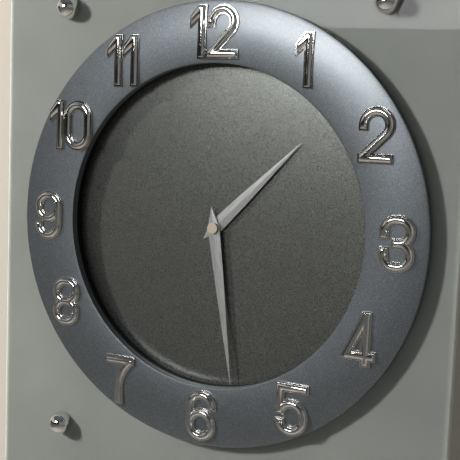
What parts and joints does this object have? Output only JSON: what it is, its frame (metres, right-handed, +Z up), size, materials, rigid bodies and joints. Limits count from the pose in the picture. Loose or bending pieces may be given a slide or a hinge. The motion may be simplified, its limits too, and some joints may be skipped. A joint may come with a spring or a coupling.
{
  "type": "wall clock",
  "caption": "Glass-panel wall clock: framed dial behind a painted chapter ring, raised plated numerals, two silver hands, dome-capped standoffs and a quartz movement.",
  "frame": {"origin": "on the wall plane, on the axis of the hands", "axes": "+Z up, the clock faces -Y, the wall is the plane y = 0, +X to the viewer's right"},
  "size_m": [0.3, 0.0344, 0.36],
  "materials": {
    "panel_glass": "polished front, acid-etched back",
    "ring_paint": "blue-grey metallic lacquer with fine flakes",
    "numeral_chrome": "bright plated",
    "cap_chrome": "bright plated",
    "dial_paint": "dark grey metallic lacquer with fine flakes",
    "foam_tape": "black foam tape",
    "pad_rubber": "soft black rubber",
    "nylon": "natural nylon",
    "zinc_steel": "zinc plated",
    "case_plastic": "black moulded",
    "plate_plastic": "white moulded",
    "brass": "turned",
    "copper_wire": "enamelled copper wire",
    "magnet": "sintered magnet",
    "board": "resin board",
    "chip_black": "black resin",
    "crystal_can": "drawn can",
    "cell_jacket": "plain sleeve",
    "hand_silver": "satin silver",
    "cap_collar_metal": "bright turned",
    "cap_cream": "cream enamel"
  },
  "bodies": {
    "clock": {"bar_screws": "zinc_steel", "bushing_nut": "brass", "case_screws": "zinc_steel", "chapter_ring": "ring_paint", "circuit_board": "board", "coil_bobbin": "nylon", "coil_core": "zinc_steel", "coil_winding": "copper_wire", "contact_minus": "zinc_steel", "contact_plus": "zinc_steel", "control_chip": "chip_black", "dial_disc": "dial_paint", "dial_tape": "foam_tape", "dome_caps": "cap_chrome", "dry_cell": "cell_jacket", "front_washers": "nylon", "gasket_washer": "foam_tape", "glass_panel": "panel_glass", "hanger_bar": "zinc_steel", "mounting_bushing": "brass", "movement_case": "case_plastic", "movement_cover": "case_plastic", "numeral_01": "numeral_chrome", "numeral_02": "numeral_chrome", "numeral_03": "numeral_chrome", "numeral_04": "numeral_chrome", "numeral_05": "numeral_chrome", "numeral_06": "numeral_chrome", "numeral_07": "numeral_chrome", "numeral_08": "numeral_chrome", "numeral_09": "numeral_chrome", "numeral_10": "numeral_chrome", "numeral_11": "numeral_chrome", "numeral_12": "numeral_chrome", "quartz_crystal": "crystal_can", "rear_washers": "nylon", "ring_tape": "foam_tape", "standoff_barrels": "cap_chrome", "standoff_studs": "zinc_steel", "stator_plate": "zinc_steel", "train_plate": "plate_plastic", "wall_pads": "pad_rubber"},
    "minute_group": {"minute_hand": "hand_silver", "minute_hub": "brass", "cap_collar": "cap_collar_metal", "hand_cap": "cap_cream", "minute_arbor": "brass", "clutch_spring": "zinc_steel"},
    "hour_group": {"hour_hand": "hand_silver", "hour_hub": "brass", "hour_wheel": "nylon"},
    "motion_group": {"motion_wheel": "nylon"},
    "setting_group": {"setting_knob": "nylon", "setting_pinion": "nylon"},
    "centre_group": {"centre_wheel": "nylon"},
    "third_group": {"third_wheel": "plate_plastic"},
    "second_group": {"second_wheel": "plate_plastic"},
    "intermediate_group": {"intermediate_wheel": "plate_plastic"},
    "rotor_group": {"rotor_pinion": "plate_plastic", "rotor_magnet": "magnet"}
  },
  "joints": [
    {"name": "minute_turn", "type": "hinge", "parent": "clock", "child": "minute_group", "pos_m": [0, -0.0125, 0], "axis": [0, 1, 0], "continuous": true},
    {"name": "hour_turn", "type": "hinge", "parent": "clock", "child": "hour_group", "pos_m": [0, -0.0125, 0], "axis": [0, 1, 0], "continuous": true},
    {"name": "motion_turn", "type": "hinge", "parent": "clock", "child": "motion_group", "pos_m": [-0.0096, -0.0125, 0], "axis": [0, 1, 0], "continuous": true},
    {"name": "setting_turn", "type": "hinge", "parent": "clock", "child": "setting_group", "pos_m": [-0.01918, -0.0125, 0.00349], "axis": [0, 1, 0], "continuous": true},
    {"name": "rotor_turn", "type": "hinge", "parent": "clock", "child": "rotor_group", "pos_m": [0.01176, -0.0125, 0.01465], "axis": [0, 1, 0], "continuous": true},
    {"name": "centre_turn", "type": "hinge", "parent": "clock", "child": "centre_group", "pos_m": [0, -0.0125, 0], "axis": [0, 1, 0], "continuous": true},
    {"name": "third_turn", "type": "hinge", "parent": "clock", "child": "third_group", "pos_m": [-0.0075, -0.0125, 0.00777], "axis": [0, 1, 0], "continuous": true},
    {"name": "second_turn", "type": "hinge", "parent": "clock", "child": "second_group", "pos_m": [0.0003, -0.0125, 0.01323], "axis": [0, 1, 0], "continuous": true},
    {"name": "intermediate_turn", "type": "hinge", "parent": "clock", "child": "intermediate_group", "pos_m": [0.00719, -0.0125, 0.01201], "axis": [0, 1, 0], "continuous": true}
  ],
  "couplings": [
    {"joint": "hour_turn", "follows": "minute_turn", "ratio": 0.083333},
    {"joint": "motion_turn", "follows": "minute_turn", "ratio": -0.33333},
    {"joint": "setting_turn", "follows": "minute_turn", "ratio": 0.8},
    {"joint": "intermediate_turn", "follows": "rotor_turn", "ratio": -0.2},
    {"joint": "second_turn", "follows": "rotor_turn", "ratio": 0.033333},
    {"joint": "third_turn", "follows": "rotor_turn", "ratio": -0.0044444},
    {"joint": "centre_turn", "follows": "rotor_turn", "ratio": 0.00055556}
  ]
}
